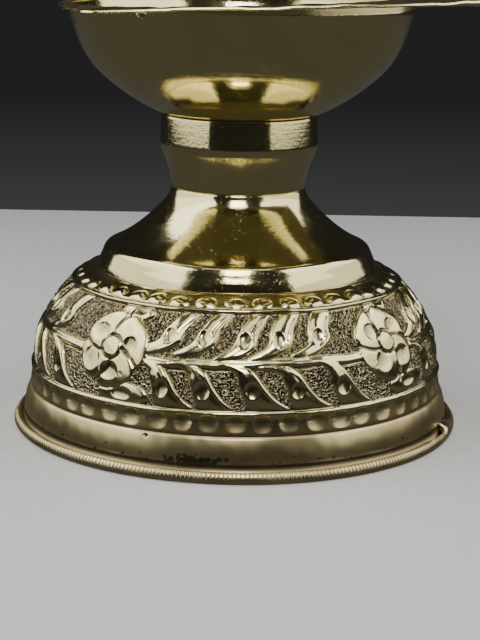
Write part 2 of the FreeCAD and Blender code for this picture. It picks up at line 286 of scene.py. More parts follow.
# A raised form starts to rise a little outside its outline, and the chased trench lies there
# too: distances from the outline, positive inside it.
FORM_START, FORM_RISE = -0.26, 0.42
TRENCH_PLACE, TRENCH_WIDTH = -0.42, 0.2
GROUND_TOP = 0.05
DIMPLE_FULLNESS = 0.75
DIMPLE_LIP = 0.035


class Relief:
    """Height of the embossing over a plan of angle and distance up the shell."""

    def __init__(self, angles, levels):
        self.angles = np.degrees(angles)
        self.levels = levels
        self.height = np.zeros((len(angles), len(levels)))
        self.raised = np.zeros_like(self.height)

    def window(self, angle, level, reach):
        """Part of the plan round a place, with its local coordinates in millimetres."""
        across = np.radians(wrapped(self.angles - angle)) * PLAN_RADIUS
        up = self.levels - level
        columns = np.flatnonzero(np.abs(across) < reach)
        rows = np.flatnonzero(np.abs(up) < reach)
        x, y = np.meshgrid(across[columns], up[rows], indexing="ij")
        return np.ix_(columns, rows), x, y

    def inside_distance(self, x, y, outline):
        """Distance to a closed outline, positive inside."""
        best = np.full(x.shape, 1e9)
        crossings = np.zeros(x.shape, int)
        for (ax, ay), (bx, by) in zip(outline, np.roll(outline, -1, 0)):
            away, _ = distance_to_stretch(x, y, (ax, ay), (bx, by))
            best = np.minimum(best, away)
            if ay != by:
                crossings += ((ay > y) != (by > y)) & (x < ax + (y - ay) * (bx - ax) / (by - ay))
        return best * np.where(crossings % 2 == 1, 1, -1)

    def add_form(self, angle, level, outline, top, crown, width, trench=0.12, cover=False, dip=0.0):
        """Raise a rounded form with steep sides and a chased trench round it.

        Forms merge with what is there already, or hide it where cover is set. Dip is the
        slope by which a form falls away downwards.
        """
        outline = np.array(outline)
        area, x, y = self.window(angle, level, np.abs(outline).max() + 1.5)
        depth = self.inside_distance(x, y, outline)
        side = top * smooth((depth - FORM_START) / FORM_RISE)
        crest = crown * (1 - (1 - np.clip(depth / width, 0, 1)) ** 2)
        fall = np.clip(1 + dip * y, 0.3, 1.3)
        form = np.where(depth > FORM_START, (side + crest) * fall, 0)
        height = self.height[area]
        chased = height - trench * hump(depth, TRENCH_PLACE, TRENCH_WIDTH)
        merged = np.where(form > height, form, np.where(height < GROUND_TOP, chased, height))
        self.height[area] = np.where(cover & (depth > -0.1), form, merged)
        self.raised[area] = np.maximum(self.raised[area], smooth((depth + 0.3) / 0.2))

    def add_dimple(self, angle, level, centre, size, depth, lean=(0.0, 0.0)):
        """Press a round punch in, deeper towards the side it leaned to."""
        area, x, y = self.window(angle, level, max(np.abs(centre)) + max(size) + 1)
        u, w = (x - centre[0]) / size[0], (y - centre[1]) / size[1]
        hollow = dome(u, w, DIMPLE_FULLNESS) * (1 + lean[0] * u + lean[1] * w)
        lip = DIMPLE_LIP * hump(np.hypot(u, w), 1.12, 0.13)
        self.height[area] += lip - depth * hollow

    def add_groove(self, angle, level, line, width, depth, fade=0.0):
        """Chase a line through points in local coordinates, or raise a ridge if depth is negative.

        Fade is the share of the line at each end over which it dies away.
        """
        line = np.array(line)
        area, x, y = self.window(angle, level, np.abs(line).max() + 1)
        best, place = np.full(x.shape, 1e9), np.zeros(x.shape)
        for index, (start, end) in enumerate(zip(line[:-1], line[1:])):
            away, along = distance_to_stretch(x, y, start, end)
            place = np.where(away < best, (index + along) / (len(line) - 1), place)
            best = np.minimum(best, away)
        strength = smooth(np.minimum(place, 1 - place) / fade) if fade else 1
        self.height[area] -= strength * depth * hump(best, 0, width)


def distance_to_stretch(x, y, start, end):
    """Distance to a straight stretch, and how far along it the nearest point is, 0 to 1."""
    (ax, ay), (bx, by) = start, end
    dx, dy = bx - ax, by - ay
    along = np.clip(((x - ax) * dx + (y - ay) * dy) / (dx * dx + dy * dy + 1e-12), 0, 1)
    return np.hypot(x - ax - along * dx, y - ay - along * dy), along


# Outline of a leaf above and below the stem, and the line of its rib, round its dimple.
UPPER_LEAF = ((-5.8, -3.2), (-3.9, -2.0), (-2.3, -1.0), (-1.5, 0.2), (-1.0, 1.5), (-0.2, 2.6),
              (0.7, 3.8), (1.7, 4.9), (2.4, 6.2), (7.6, 6.2), (5.8, 4.7), (4.7, 3.4), (3.8, 2.4),
              (3.1, 1.4), (2.6, 0.0), (2.1, -1.1), (0.7, -2.1), (-1.0, -2.9), (-3.5, -3.7))
LOWER_LEAF = ((-7.4, 4.3), (-4.5, 3.8), (-2.7, 2.9), (-2.2, 1.4), (-1.9, 0.0), (-1.4, -1.6),
              (-0.9, -3.1), (-0.7, -4.9), (8.6, -4.7), (6.0, -3.2), (3.9, -1.8), (2.4, 0.0),
              (1.6, 1.4), (0.6, 3.0), (-1.2, 4.2), (-4.5, 4.9))
UPPER_RIB = ((6.9, 5.7), (5.2, 4.4), (4.2, 3.2), (3.35, 2.2), (2.65, 1.3), (2.15, 0.0), (1.6, -1.0),
             (0.3, -2.0), (-1.6, -2.8), (-3.8, -3.3))
LOWER_RIB = ((7.4, -4.1), (5.4, -3.1), (3.4, -1.7), (1.95, 0.0), (1.15, 1.3), (0.1, 2.7),
             (-1.4, 3.7), (-4.2, 4.4))
# Where the leaves stand, as shares of the gap between two rosettes, and how far each upper
# leaf is turned upright, as a share of its height.
UPPER_LEAF_STEPS = (0.202, 0.322, 0.462, 0.582, 0.720)
UPPER_LEAF_UPRIGHT = (0.0, 0.0, 0.03, 0.24, 0.33)
LOWER_LEAF_STEPS = (0.196, 0.330, 0.481, 0.625, 0.778)
UPPER_DIMPLE_LEVEL = 23.5
LOWER_DIMPLE_LEVEL = 13.9


def jitter(size):
    """Small random amount, up or down."""
    return RANDOM.uniform(-size, size)


LEAF_SCALE = 1.08
LOWER_LEAF_DIP = 0.13


def add_leaf(relief, template, rib, angle, level, upright=0.0, dip=0.0):
    """One comma-shaped leaf, a little different each time, with its rib and punched dimple."""
    stretch = np.array([1 + jitter(0.06), 1 + jitter(0.03)])
    template, rib = (np.array(points) * stretch for points in (template, rib))
    template += RANDOM.uniform(-0.12, 0.12, template.shape)
    for points in (template, rib):
        points[:, 0] -= upright * np.clip(points[:, 1], 0, None)
    outline = closed_spline(template * LEAF_SCALE, 4)
    relief.add_form(angle, level, outline, top=0.5, crown=0.3, width=1.9, dip=dip)
    relief.add_groove(angle, level, rib + (-0.5, 0.2), width=0.3, depth=0.1, fade=0.3)
    relief.add_groove(angle, level, rib + (0.15, 0), width=0.42, depth=-0.18, fade=0.25)
    size = (1.35 + jitter(0.1), 1.65 + jitter(0.12))
    relief.add_dimple(angle, level, (0.1, 0.0), size, depth=0.5, lean=(-0.25, 0.3))


ROSETTE_RADIUS = 7.9
ROSETTE_LEVEL = 20.0
# Ringed boss in a rosette's middle.
BOSS_SIZE = (2.2, 2.15)
BOSS_RING = (2.4, 2.35)
# Petal tips that show behind a rosette: centre, size, dimple and size of the dimple.
HALF_PETALS = (((2.8, 8.0), (4.3, 2.1), (3.7, 8.1), (1.9, 1.1)),
               ((3.9, -8.4), (5.4, 2.3), (3.9, -8.2), (2.1, 1.2)))


def oval(size, step):
    """Points round an oval, a step in degrees apart."""
    turn = np.radians(np.arange(0, 360, step))
    return np.stack([np.cos(turn), np.sin(turn)], 1) * size


def rosette_outline(notches):
    """Round outline with a notch at each given angle."""
    turn = np.radians(np.arange(0, 360, 5))
    radius = np.full(turn.shape, ROSETTE_RADIUS)
    for notch in notches:
        radius -= 0.8 * hump(wrapped(np.degrees(turn) - notch), 0, 9.0)
    radius += 0.12 * np.sin(3 * turn + notches[0])
    return np.stack([radius * np.cos(turn), radius * np.sin(turn) * 0.97], 1)


def add_rosette(relief, angle, level, notches, dimples):
    """Pinwheel flower: four dimpled petals parted by curved lines round a ringed boss."""
    for centre, size, dimple, dimple_size in HALF_PETALS:
        outline = np.array(centre) + oval(size, 10)
        relief.add_form(angle, level, outline, top=0.55, crown=0.2, width=1.3)
        relief.add_dimple(angle, level, dimple, dimple_size, depth=0.38, lean=(-0.2, 0.35))
    outline = rosette_outline(notches)
    relief.add_form(angle, level, outline, top=0.66, crown=0.24, width=3.0, trench=0.24, cover=True)
    inner = 2.5
    reach = np.linspace(inner, ROSETTE_RADIUS, 12)
    for notch in notches:
        bend = np.radians(notch + 30 * (1 - (reach - inner) / (ROSETTE_RADIUS - inner)) ** 1.4)
        line = np.stack([reach * np.cos(bend), reach * np.sin(bend)], 1)
        relief.add_groove(angle, level, line, width=0.6, depth=0.1)
        relief.add_groove(angle, level, line, width=0.2, depth=0.36)
    for across, up, wide, tall in dimples:
        size = (wide * 0.9, tall * 0.95)
        relief.add_dimple(angle, level, (across, up), size, depth=0.46, lean=(-0.3, 0.35))
    ring = oval(BOSS_RING, 10)
    relief.add_dimple(angle, level, (0, 0), BOSS_SIZE, depth=-0.28)
    relief.add_groove(angle, level, np.concatenate([ring, ring[:1]]), width=0.23, depth=0.36)
    add_ticks(relief, angle, level, notches)


def add_ticks(relief, angle, level, notches):
    """Short chased strokes near the petals' edges."""
    for notch in notches:
        for step in range(4):
            bearing = math.radians(notch + 38 + step * 6 + jitter(2))
            inner, outer = 5.2 + jitter(0.3), 6.1 + jitter(0.25)
            stroke = [(inner * math.cos(bearing), inner * math.sin(bearing)),
                      (outer * math.cos(bearing), outer * math.sin(bearing))]
            relief.add_groove(angle, level, stroke, width=0.13, depth=0.09)


# Two kinds of rosette: the notches between the petals, in degrees, and the petals' dimples
# as (across, up, half width, half height).
ROSETTES = (
    ((76, 173, 248, 329), ((-4.0, 2.6, 2.7, 1.9), (4.0, 0.5, 1.9, 2.2),
                           (0.5, -4.4, 2.3, 1.8), (-4.3, -2.7, 2.3, 2.5))),
    ((99, 178, 282, 355), ((-3.2, 2.4, 2.3, 1.9), (3.6, 2.6, 2.5, 1.9),
                           (3.6, -3.2, 2.5, 2.0), (-2.3, -3.4, 2.1, 2.2))),
)


def add_frieze(relief):
    """Stem, leaves and rosettes all the way round."""
    gaps = [(following - start) % 360 for start, following
            in zip(ROSETTE_ANGLES, ROSETTE_ANGLES[1:] + ROSETTE_ANGLES[:1])]
    add_stem(relief)
    for start, gap in zip(ROSETTE_ANGLES, gaps):
        for step, upright in zip(UPPER_LEAF_STEPS, UPPER_LEAF_UPRIGHT):
            add_leaf(relief, UPPER_LEAF, UPPER_RIB, start + step * gap + jitter(0.4),
                     UPPER_DIMPLE_LEVEL + jitter(0.3), upright)
        for step in LOWER_LEAF_STEPS:
            add_leaf(relief, LOWER_LEAF, LOWER_RIB, start + step * gap + jitter(0.4),
                     LOWER_DIMPLE_LEVEL + jitter(0.25), dip=LOWER_LEAF_DIP)
    for index, angle in enumerate(ROSETTE_ANGLES):
        notches, dimples = ROSETTES[index % len(ROSETTES)]
        add_rosette(relief, angle, ROSETTE_LEVEL + 0.7 * (index % 2), notches, dimples)


STEM_HALF_WIDTH = 1.35


def add_stem(relief):
    """Ridge that runs from rosette to rosette, with a chased line along it."""
    angle, level = np.meshgrid(np.radians(relief.angles), relief.levels, indexing="ij")
    centre = STEM_LEVEL + 0.25 * np.sin(4 * angle + 0.6) + ripple(angle, 0, 0.12, 14, 3)
    away = level - centre
    ridge = 0.78 * dome(away / STEM_HALF_WIDTH, 0, 0.7)
    line = 0.4 * hump(away, -0.75, 0.26) + 0.16 * hump(away, 0.45, 0.2)
    relief.height = np.maximum(relief.height, ridge) - line
    relief.raised = np.maximum(relief.raised, (np.abs(away) < 1.15).astype(float))


def add_borders(relief):
    """Wire above the frieze, smooth border and bead below it, and the grooves beside them."""
    level = relief.levels[None, :]
    frieze = (level > BORDER_LEVEL + 0.6) & (level < WIRE_LEVEL - 0.7)
    below = smooth((BORDER_LEVEL + 0.75 - level) / 0.5)
    above = smooth((level - WIRE_LEVEL + 0.75) / 0.4)
    plain = np.maximum(below, above)
    relief.height = np.maximum(np.where(frieze, relief.height, 0), plain * (GROUND_DEPTH - 0.1))
    relief.raised = np.maximum(relief.raised, plain)
    relief.height += 0.32 * hump(level, WIRE_LEVEL, 0.3)
    relief.height -= 0.22 * hump(level, WIRE_LEVEL + 0.62, 0.2)
    relief.height += 0.22 * hump(level, BORDER_LEVEL, 0.42)
    relief.height -= 0.35 * hump(level, GROOVE_LEVEL, 0.2)


SCALLOP_SIZE, SCALLOP_DEPTH = (1.9, 1.8), 0.32
PAD_SIZE, PAD_RISE = (2.75, 1.6), 0.5


def add_rows(relief):
    """The row of scallop dimples under the frieze and the row of pads over it."""
    reach = 4
    pressed, raised = np.zeros_like(relief.height), np.zeros_like(relief.height)
    for index in range(SCALLOP_COUNT):
        angle = index * 360 / SCALLOP_COUNT + 0.6 + jitter(0.5)
        area, x, y = relief.window(angle, SCALLOP_LEVEL + jitter(0.1), reach)
        u, w = x / (SCALLOP_SIZE[0] + jitter(0.12)), y / (SCALLOP_SIZE[1] + jitter(0.08))
        hollow = dome(u, w, np.where(w > 0, 0.65, 1.0)) * (1 + 0.25 * w)
        pressed[area] = np.maximum(pressed[area], (SCALLOP_DEPTH + jitter(0.05)) * hollow)
    for index in range(PAD_COUNT):
        angle = index * 360 / PAD_COUNT + jitter(1.1)
        area, x, y = relief.window(angle, PAD_LEVEL, reach)
        u, w = x / (PAD_SIZE[0] + jitter(0.2)), y / (PAD_SIZE[1] + jitter(0.08))
        raised[area] = np.maximum(raised[area], PAD_RISE * dome(u, w, 0.7))
    relief.height += raised - pressed


def blurred(values, times):
    """Values averaged with their neighbours, closing on itself round the lamp."""
    for _ in range(times):
        values = (values + np.roll(values, 1, 0) + np.roll(values, -1, 0)) / 3
        padded = np.pad(values, ((0, 0), (1, 1)), mode="edge")
        values = (padded[:, :-2] + padded[:, 1:-1] + padded[:, 2:]) / 3
    return values


PIT_ANGLE, PIT_LEVEL, PIT_SIZE, PIT_DEPTH = -22.5, 4.7, (0.4, 0.36), 0.4
PUNCH_MARKS = 0.05


def drum_relief(angles, levels):
    """Relief of the whole drum, with masks for its dark ground and for its crevices, its stains and
    its painted shade.
    """
    relief = Relief(angles, levels)
    add_frieze(relief)
    add_borders(relief)
    add_rows(relief)
    relief.add_dimple(PIT_ANGLE, PIT_LEVEL, (0, 0), PIT_SIZE, PIT_DEPTH)
    ground = np.clip(1 - relief.raised, 0, 1) * (relief.height < 0.3)
    angle, level = np.meshgrid(angles, levels, indexing="ij")
    speckle = RANDOM.normal(0, 1, relief.height.shape)
    speckle = 0.65 * speckle + 0.35 * blurred(speckle, 1) * 3
    height = relief.height - GROUND_DEPTH + ground * speckle * PUNCH_MARKS
    height += ripple(angle, level, 0.05, 9, 11) + ripple(angle, level, 0.02, 3.5, 12)
    fine = np.clip((blurred(relief.height, 3) - relief.height) / 0.16, 0, 1)
    # Painted shade: broad hollows off the ground, such as the dimples, are darkened.
    painted_hollow_shade = np.clip((blurred(relief.height, 24) - relief.height) / 0.22, 0, 1)
    # Painted shade in the crease just above the seam, where the foot's lip meets the drum, over a
    # dark joint.
    seam = 0.9 * smooth((0.75 - level) / 0.5)
    grime_and_shade = np.maximum.reduce([fine, 0.75 * painted_hollow_shade * (ground < 0.5), seam, stain_spots(relief)])
    return height, ground, grime_and_shade


# Stains just above the seam: number of spots and their size, in the cluster and all round.
STAIN_ANGLE, STAIN_SPREAD = -10, 3.6
CLUSTER_SPOTS, CLUSTER_SPOT_SIZE = 70, 0.42
LOOSE_SPOTS, LOOSE_SPOT_SIZE = 150, 0.26


def stain_spots(relief):
    """Dark specks just above the seam: a cluster at the front and finer ones all round."""
    source = np.random.default_rng(71)
    spots = np.zeros_like(relief.height)
    places = [(source.normal(STAIN_ANGLE, STAIN_SPREAD), abs(source.normal(0.5, 1.1)),
               CLUSTER_SPOT_SIZE) for _ in range(CLUSTER_SPOTS)]
    places += [(source.uniform(-180, 180), abs(source.normal(0.4, 1.0)),
                LOOSE_SPOT_SIZE) for _ in range(LOOSE_SPOTS)]
    for angle, level, size in places:
        size *= source.uniform(0.5, 1.3)
        area, x, y = relief.window(angle, level, 1.5)
        spots[area] = np.maximum(spots[area], smooth(1.6 - np.hypot(x, y * 1.3) / size))
    return spots


# ------------------------------ pieces

DRUM_SHEET, DRUM_STEP, DRUM_ANGLES = 0.8, 0.223, 1080


def make_drum(material):
    """Embossed shell: relief outside, plain inside, with its flange and its shelf."""
    outside = even_steps(join(
        arc(DRUM_SEAM, DRUM_GROOVE, DRUM_BAND_ROUND, 30), [DRUM_GROOVE, DRUM_WAIST],
        arc(DRUM_WAIST, DRUM_WIRE, DRUM_DOME_ROUND, 120), [DRUM_WIRE, DRUM_SHOULDER]), DRUM_STEP)
    levels = np.r_[0, np.cumsum(np.hypot(*np.diff(outside, axis=0).T))]
    low, top, shelf = DRUM_LOW.z, DRUM_HIGH.z, DRUM_SHOULDER[0] - 1
    flange = [(42.2, low), (DRUM_HIGH.x, low), (DRUM_HIGH.x, low + DRUM_SHEET),
              (DRUM_SEAM[0] + 0.25, low + DRUM_SHEET)]
    inside = [(shelf, top), (STUD_HOLE, top), (STUD_HOLE, top - DRUM_SHEET),
              (shelf, top - DRUM_SHEET), *DRUM_INSIDE]
    path = np.concatenate([flange, outside, inside])
    angles = angles_round(DRUM_ANGLES)
    height, ground, grime_and_shade = drum_relief(angles, levels)
    fade = smooth(levels / 0.8) * smooth((levels[-1] - levels) / 0.5)
    offset, dark, grime_and_shade_marks = (np.zeros((len(angles), len(path))) for _ in range(3))
    embossed = slice(len(flange), len(flange) + len(outside))
    offset[:, embossed] = height * fade
    dark[:, embossed] = ground
    # Crevice tarnish, stains and painted shade, stored on the mesh for the material.
    grime_and_shade_marks[:, embossed] = grime_and_shade
    points = turn_points(path, angles, offset)
    piece = grid_mesh("drum_embossed", points, True, {"ground": dark, "grime_and_shade": grime_and_shade_marks})
    dress(piece, "stand", "embossed_brass", material, "drum")


# Height by which the lip of the bell reaches below the CAD's, and the bell's profile.
BELL_SKIRT = 0.6
BELL_SHEET = 0.9
BELL_EDGE = (25.9, 36.6)
BELL_WAIST = (15.6, 44.2)
BELL_NECK = (13.35, BELL_HIGH.z)


def make_bell(material):
    """Spun bell: a leaning lip, a rounded edge over it and a hollow rise to the neck."""
    radius, low, top = BELL_HIGH.x, BELL_LOW.z, BELL_HIGH.z
    lip = low - BELL_SKIRT
    outside = join(
        [(radius - BELL_SHEET, low), (radius - 0.45, lip), (radius - 0.2, lip)],
        flowing([(radius, lip + 0.3), (radius - 0.8, low + 2.2), BELL_EDGE, BELL_WAIST, BELL_NECK],
                (101, 116, 157, 134, 97)))
    under_neck = (BELL_NECK[0] - BELL_SHEET, top - BELL_SHEET)
    under_waist = (BELL_WAIST[0] - 0.65, BELL_WAIST[1] - 0.65)
    under_edge = (BELL_EDGE[0] - 0.4, BELL_EDGE[1] - 0.8)
    inside = join(
        [(STUD_HOLE, top), (STUD_HOLE, top - BELL_SHEET), under_neck],
        arc(under_neck, under_waist, 6.9, 10), arc(under_waist, under_edge, 28.9, 20),
        arc(under_edge, (radius - BELL_SHEET, low + 2.0), -2.2, 8))
    piece = spun_shell("bell_shell", outside, inside, 0.35, 420, (0.018, 24, 21))
    dress(piece, "stand", "polished_brass", material, "bell")


COLLAR_WALL = 1.0
COLLAR_LEAN = 0.34


def make_collar(material):
    """Turned ring: a hollow curve up to a band that leans in a little to the bowl."""
    radius, low, top = COLLAR_HIGH.x, COLLAR_LOW.z, COLLAR_HIGH.z
    bore, foot, hollow = (12.5, low), (13.5, low + 0.6), (radius - 0.35, low + 7.47)
    band, crest = (radius, low + 9.0), (radius - COLLAR_LEAN, top + 0.15)
    outside = join(
        [bore, (13.3, low), (foot[0], low + 0.25), foot],
        arc(foot, hollow, -20.3, 26), arc(hollow, band, 3.5, 8),
        [band, crest], arc(crest, (radius - 0.56, top + 0.33), 0.3, 5))
    inner_band = (radius - COLLAR_WALL, band[1])
    inside = join([(inner_band[0], top + 0.2), inner_band], arc(inner_band, bore, 30, 12)[:-1])
    piece = spun_shell("collar_ring", outside, inside, 0.22, 480, (0.022, 30, 31))
    dress(piece, "stand", "polished_brass", material, "collar")


# Leaf-shaped rim sheet. It tilts up towards its tip and meets the bowl at the mouth.
RIM_SHEET = 0.6
RIM_TILT = math.radians(2.0)
RIM_HEIGHT = 84.4
CHANNEL_RADIUS = 1.8
CHANNEL_START, CHANNEL_RUN_IN = 20, 10
BOWL_WALL = 0.8
MOUTH_RADIUS = BOWL_HIGH.y - BOWL_WALL


def channel_dip(x, y):
    """How far the wick channel is pressed below the leaf at a place."""
    trough = np.sqrt(np.clip(CHANNEL_RADIUS ** 2 - y ** 2, 0, None))
    return trough * smooth((x - CHANNEL_START) / CHANNEL_RUN_IN)


def rim_plane(x):
    """Height of the leaf's underside."""
    return RIM_HEIGHT + x * math.tan(RIM_TILT)


SOLDER_ANGLE = -31.5
MM_PER_DEGREE = 0.6


def solder_drop(angle, height):
    """Small run of solder on the bowl under the leaf."""
    across = wrapped(np.degrees(angle) - SOLDER_ANGLE) * MM_PER_DEGREE
    down = (BOWL_HIGH.z - 1.2) - height
    width = np.clip(1.7 - 0.6 * down, 0.05, None)
    return 0.8 * dome(across / width, 0, 1) * smooth((2.6 - down) / 1.0)


# The bowl's bottom is part of a ball as far as the turn, then its side flares up to the mouth.
BOWL_BOTTOM_ROUND = 40.4
BOWL_TURN = (28.0, 70.88)
BOWL_SIDE = (BOWL_HIGH.y - 0.1, 83.0)
BOWL_STEP, BOWL_ANGLES = 0.4, 540
BOWL_EDGE_ROWS = 4


def make_bowl(material):
    """Round bowl, closed below, its edge meeting the tilted leaf and its wick channel."""
    outside = even_steps(join(arc((0.0, BOWL_LOW.z), BOWL_TURN, BOWL_BOTTOM_ROUND, 80),
                              flowing([BOWL_TURN, BOWL_SIDE], (43.9, 74))), BOWL_STEP)
    inside = even_steps((outside - BOWL_WALL * path_normals(outside, False))[-2::-1], 0.7)
    radius, side_height = BOWL_SIDE
    path = np.concatenate([outside, [BOWL_SIDE] * BOWL_EDGE_ROWS,
                           [(radius - BOWL_WALL, side_height)] * BOWL_EDGE_ROWS, inside])
    angles = angles_round(BOWL_ANGLES)
    angle, along = np.meshgrid(angles, np.arange(len(path)) * BOWL_STEP, indexing="ij")
    offset = ripple(angle, along, 0.03, 34, 41)
    offset[:, len(outside) - 6:] = 0
    offset[:, :12] *= np.linspace(0, 1, 12)
    offset += solder_drop(angle, path[None, :, 1]) * (np.arange(len(path)) < len(outside))
    points = turn_points(path, angles, offset, closed=False)
    edge = slice(len(outside), len(outside) + 2 * BOWL_EDGE_ROWS)
    share = np.r_[np.linspace(0.25, 1, BOWL_EDGE_ROWS), np.linspace(1, 0.25, BOWL_EDGE_ROWS)]
    points[:, edge, :2] *= (1 + 0.1 / radius * share)[None, :, None]
    x, y = points[:, edge, 0], points[:, edge, 1]
    top = rim_plane(x) - 0.02 - channel_dip(x, y)
    points[:, edge, 2] = side_height + (top - side_height) * share
    piece = grid_mesh("bowl_shell", points, False, poles=True)
    dress(piece, "lamp_top", "polished_brass", material, "bowl")


# Corners of the leaf's outline, each with the radius of the arc from it to the next one.
LEAF_OUTLINE = (
    ((-30.8, -27.5), 200), ((-28.0, -36.6), 3.6), ((-24.6, -39.3), 240), ((22.0, -37.0), 62),
    ((44.0, -27.0), 90), ((61.0, -4.2), 4.6), ((61.0, 4.2), 90), ((44.0, 27.0), 62),
    ((22.0, 37.0), 240), ((-24.6, 39.3), 3.6), ((-28.0, 36.6), 200), ((-30.8, 27.5), 92))


def leaf_reach(bearings):
    """Distance from the bowl's axis to the leaf's edge in each direction."""
    runs = [arc(start, following[0], radius, 24) for (start, radius), following
            in zip(LEAF_OUTLINE, LEAF_OUTLINE[1:] + LEAF_OUTLINE[:1])]
    outline = join(*runs)
    turn = np.arctan2(outline[:, 1], outline[:, 0])
    order = np.argsort(turn)
    return np.interp(bearings, turn[order], np.hypot(*outline.T)[order], period=2 * math.pi)


def leaf_surface(x, y, share):
    """Height of the leaf's upper face: tilted, softly waved, with its wick channel."""
    bearing = np.arctan2(y, x)
    swell = 0.3 * hump(bearing, -1.72, 0.3) + 0.2 * hump(bearing, 1.3, 0.4)
    wave = 0.07 * np.sin(5 * bearing + 0.8) + 0.05 * np.sin(11 * bearing + 2.1)
    return rim_plane(x) + RIM_SHEET + (swell + wave) * share + hammered(x, y) - channel_dip(x, y)


HAMMER_WAVES = 26
HAMMER_SLOPE = 0.0026


def hammered(x, y):
    """Small waves left by the hammer on the flat sheet."""
    source = np.random.default_rng(61)
    total = 0
    for _ in range(HAMMER_WAVES):
        way, wave = source.uniform(0, math.pi), source.uniform(3.5, 11)
        across = x * math.cos(way) + y * math.sin(way)
        total = total + wave * np.sin(2 * math.pi * across / wave + source.uniform(*PHASES))
    return HAMMER_SLOPE * total


LEAF_ANGLES, LEAF_ROWS = 1140, 40
LEAF_CROWDING = 0.495
LEAF_CHAMFER = ((0.10, 0.05), (0.19, 0.16), (0.27, 0.32), (0.29, 0.45), (0.22, 0.56))


def make_leaf_rim(material):
    """Leaf-shaped sheet, upper and lower face with a rounded edge."""
    bearings = angles_round(LEAF_ANGLES)
    bearings = bearings - LEAF_CROWDING * np.sin(bearings)
    reach = leaf_reach(bearings)[:, None]
    shares = np.linspace(0, 1, LEAF_ROWS)[None, :]
    radius = MOUTH_RADIUS + (reach - MOUTH_RADIUS) * shares
    x, y = radius * np.cos(bearings)[:, None], radius * np.sin(bearings)[:, None]
    top = leaf_surface(x, y, shares)
    upper = np.stack([x, y, top], -1)
    lower = np.stack([x, y, top - RIM_SHEET], -1)[:, ::-1]
    out, down = np.array(LEAF_CHAMFER).T
    grow = 1 + out / reach
    edge = np.stack([x[:, -1:] * grow, y[:, -1:] * grow, top[:, -1:] - down], -1)
    piece = grid_mesh("leaf_rim_sheet", np.concatenate([upper, edge, lower], 1), True)
    dress(piece, "lamp_top", "polished_brass", material, "leaf_rim")


FOOT_SHEET, FOOT_ANGLES = 0.6, 2600
FOOT_BEAD_RADIUS = 44.1
FOOT_LIP_RADIUS = FOOT_RADIUS - 1.55
FOOT_INSIDE_RADIUS = 44.4
TICK_COUNT = 352
TICK_CUT, TICK_DIP = 0.14, 0.08
# The crimp is sprung open between two angles, and its torn end is lifted as far as a third.
CRIMP_OPEN = (math.radians(58), math.radians(69.5))
CRIMP_LIFT_END = math.radians(82)


def foot_path():
    """Half section of the base disc: bottom, rolled edge, lip and upper face."""
    top, lip = PLATE_HIGH.z, FOOT_LIP_RADIUS
    bottom = [(0, 0), (14, 0), (28, 0), (38, 0), (42, 0)]
    bead = (FOOT_BEAD_RADIUS, top)
    wall = flowing([(FOOT_RADIUS - 0.9, 0), (FOOT_RADIUS, 1.0), bead], (0, 90, 176))
    shelf = even_steps([bead, (lip + 0.1, top - 0.12)], 0.18)
    end = [(lip, top - 0.22), (lip, top - 0.5), (lip + 0.08, top - 0.6)]
    under = even_steps([(lip + 0.08, top - 0.6), (44.35, top - 0.62)], 0.3)
    inside = [(FOOT_INSIDE_RADIUS, 1.3), (FOOT_INSIDE_RADIUS, FOOT_SHEET),
              (40, FOOT_SHEET), (20, FOOT_SHEET), (0, FOOT_SHEET)]
    return join(bottom, even_steps(wall, 0.16), shelf, end, under, inside)


def foot_ticks(turn, path):
    """Depth of the punched ticks, 0 to 1.3: uneven, and none from the open crimp to the back."""
    phase = turn * TICK_COUNT / (2 * math.pi)
    phase = phase + ripple(turn, 0, 0.16, 60, 51) + ripple(turn, 0, 0.06, 2.5, 55)
    notch = hump(np.sin(math.pi * phase), 0, 0.28)
    strength = np.clip(0.75 + ripple(turn, 0, 0.5, 30, 52) + ripple(turn, 0, 0.3, 4, 54), 0.1, 1.3)
    strength *= smooth((wrapped(np.degrees(CRIMP_OPEN[0] - turn)) + 1) / 4) + (turn < 0)
    rim = smooth((path[:, 0] - 43.9) / 0.4) * smooth((path[:, 1] - 0.9) / 0.5)
    return notch * np.clip(strength, 0, 1.3) * rim


def make_foot(material):
    """Base disc whose edge is rolled up, ticked and sprung open at one place."""
    path, top = foot_path(), PLATE_HIGH.z
    turn, radius = np.meshgrid(angles_round(FOOT_ANGLES), path[:, 0], indexing="ij")
    radius, height = spring_open(radius, path[None, :, 1], turn)
    tick = foot_ticks(turn, path)
    radius = radius - TICK_CUT * tick
    height = height - TICK_DIP * tick * smooth((path[:, 1] - 1.6) / 0.5)
    # Painted shade, with grime, on the lip's edge in the crease where it meets the drum.
    crease_grime_and_shade = 0.7 * smooth((44.2 - path[:, 0]) / 0.7) * (path[:, 1] > top - 0.7)
    radius = radius + ripple(turn, 0, 0.1, 50, 53) * smooth((path[:, 0] - 36) / 8)
    points = np.stack([radius * np.sin(turn), -radius * np.cos(turn), height], -1)
    marks = {"grime_and_shade": np.clip(tick + crease_grime_and_shade, 0, 1)}
    piece = grid_mesh("foot_crimp", points, False, marks, poles=True)
    dress(piece, "stand", "foot_brass", material, "base_plate")


